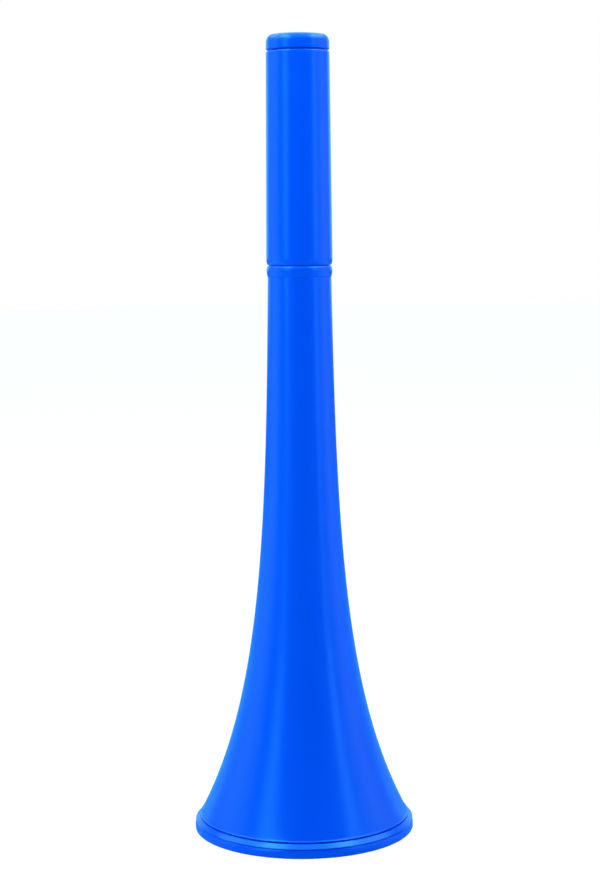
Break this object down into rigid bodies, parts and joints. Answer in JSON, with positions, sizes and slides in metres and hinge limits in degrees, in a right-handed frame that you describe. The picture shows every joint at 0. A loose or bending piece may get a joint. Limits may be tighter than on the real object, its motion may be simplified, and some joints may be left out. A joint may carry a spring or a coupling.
{
  "type": "collapsible horn",
  "caption": "Collapsible stadium horn, closed: flared bell on a bumper ring, tube sliding in a neck collar, and a barrel with mouthpiece that slides on the tube.",
  "frame": {"origin": "centre of the flat foot under the bumper ring, on the horn's axis", "axes": "+Z along the horn's axis from the bell's mouth up to the mouthpiece; the horn is round, so +X and +Y may point any way round it"},
  "size_m": [0.102, 0.102, 0.3655],
  "materials": {
    "shell_plastic": "gloss, injection moulded, one blue throughout",
    "tube_plastic": "satin gloss, extruded, the same blue",
    "seal_rubber": "matt black rubber"
  },
  "bodies": {
    "bell_section": {"bell": "shell_plastic", "rim_ring": "shell_plastic", "neck_collar": "shell_plastic"},
    "neck_grip": {"neck_seal": "seal_rubber"},
    "mid_section": {"mid_tube": "tube_plastic", "foot_ring": "shell_plastic", "top_ring": "shell_plastic"},
    "barrel_grip": {"barrel_seal": "seal_rubber"},
    "barrel_section": {"barrel": "shell_plastic", "barrel_guide": "shell_plastic", "mouthpiece": "shell_plastic"}
  },
  "joints": [
    {"name": "tube_turn", "type": "hinge", "parent": "bell_section", "child": "neck_grip", "pos_m": [0, 0, 0.25965], "axis": [0, 0, 1], "continuous": true},
    {"name": "tube_slide", "type": "slide", "parent": "neck_grip", "child": "mid_section", "axis": [0, 0, 1], "range_m": [0, 0.2298]},
    {"name": "barrel_slide", "type": "slide", "parent": "mid_section", "child": "barrel_grip", "axis": [0, 0, 1], "range_m": [0, 0.0655]},
    {"name": "barrel_turn", "type": "hinge", "parent": "barrel_grip", "child": "barrel_section", "pos_m": [0, 0, 0.2658], "axis": [0, 0, 1], "continuous": true}
  ]
}
